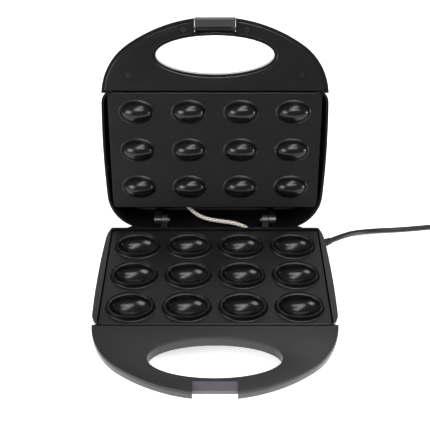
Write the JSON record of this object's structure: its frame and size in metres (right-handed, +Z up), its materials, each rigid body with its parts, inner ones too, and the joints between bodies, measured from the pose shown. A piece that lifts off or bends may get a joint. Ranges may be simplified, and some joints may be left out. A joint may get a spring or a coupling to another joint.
{
  "type": "nut-shaped cookie maker",
  "caption": "Electric clamshell maker for nut-shaped filled cookies, black housings, lid leaning open, latch on the handle and a mains cord",
  "frame": {"origin": "on the table, under the centre of the appliance with its lid open, leaving out the cord", "axes": "+Z up, +X to the user's right, -Y towards the handle, +Y towards the hinge; at rest the lid leans open on its stop"},
  "size_m": [0.459, 0.362, 0.2294],
  "materials": {
    "housing_plastic": "satin",
    "handle_plastic": "satin",
    "gloss_plastic": "gloss",
    "nonstick_coating": "satin",
    "element_steel": "satin",
    "plated_steel": "satin",
    "thermostat_body": "matte",
    "terminal_plastic": "matte",
    "lead_sheath": "matte",
    "foot_rubber": "matte",
    "pin_steel": "gloss",
    "braided_sleeve": "matte",
    "cord_sheath": "satin",
    "red_lens": "gloss",
    "green_lens": "gloss",
    "lamp_glass": "gloss",
    "latch_plastic": "satin",
    "cord_tie_plastic": "satin",
    "plug_plastic": "satin",
    "plug_brass": "gloss"
  },
  "bodies": {
    "base": {"base_shell": "housing_plastic", "base_handle_panel": "handle_plastic", "latch_catch": "gloss_plastic", "base_mould_plate": "nonstick_coating", "base_heating_element": "element_steel", "base_heat_shield": "plated_steel", "base_plate_screws": "plated_steel", "thermostat": "thermostat_body", "thermostat_screws": "plated_steel", "thermal_fuse": "element_steel", "fuse_clip": "plated_steel", "terminal_block": "terminal_plastic", "base_wiring": "lead_sheath", "rubber_feet": "foot_rubber", "hinge_pins": "pin_steel", "strain_relief": "cord_sheath", "power_cord": "cord_sheath", "power_cord_coil": "cord_sheath", "plug_lead": "cord_sheath", "cord_tie": "cord_tie_plastic", "plug_body": "plug_plastic", "plug_pins": "plug_brass"},
    "lid": {"lid_shell": "housing_plastic", "lid_handle_panel": "handle_plastic", "lid_handle_screws": "pin_steel", "lid_mould_plate": "nonstick_coating", "lid_heating_element": "element_steel", "lid_heat_shield": "plated_steel", "lid_plate_screws": "plated_steel", "lamp_lens_red": "red_lens", "lamp_lens_green": "green_lens", "neon_lamps": "lamp_glass", "lid_wiring": "lead_sheath", "wire_sleeve": "braided_sleeve", "latch_pin": "pin_steel"},
    "latch": {"latch": "latch_plastic", "latch_spring": "pin_steel"}
  },
  "joints": [
    {"name": "lid_hinge", "type": "hinge", "parent": "base", "child": "lid", "pos_m": [0, 0.05318, 0.042], "axis": [1, 0, 0], "range_deg": [0, 114], "deforming": ["wire_sleeve"]},
    {"name": "latch_pivot", "type": "hinge", "parent": "lid", "child": "latch", "pos_m": [0, 0.1379, 0.21139], "axis": [1, 0, 0], "range_deg": [-25, 0], "stiffness_Nm_per_rad": 0.05}
  ]
}
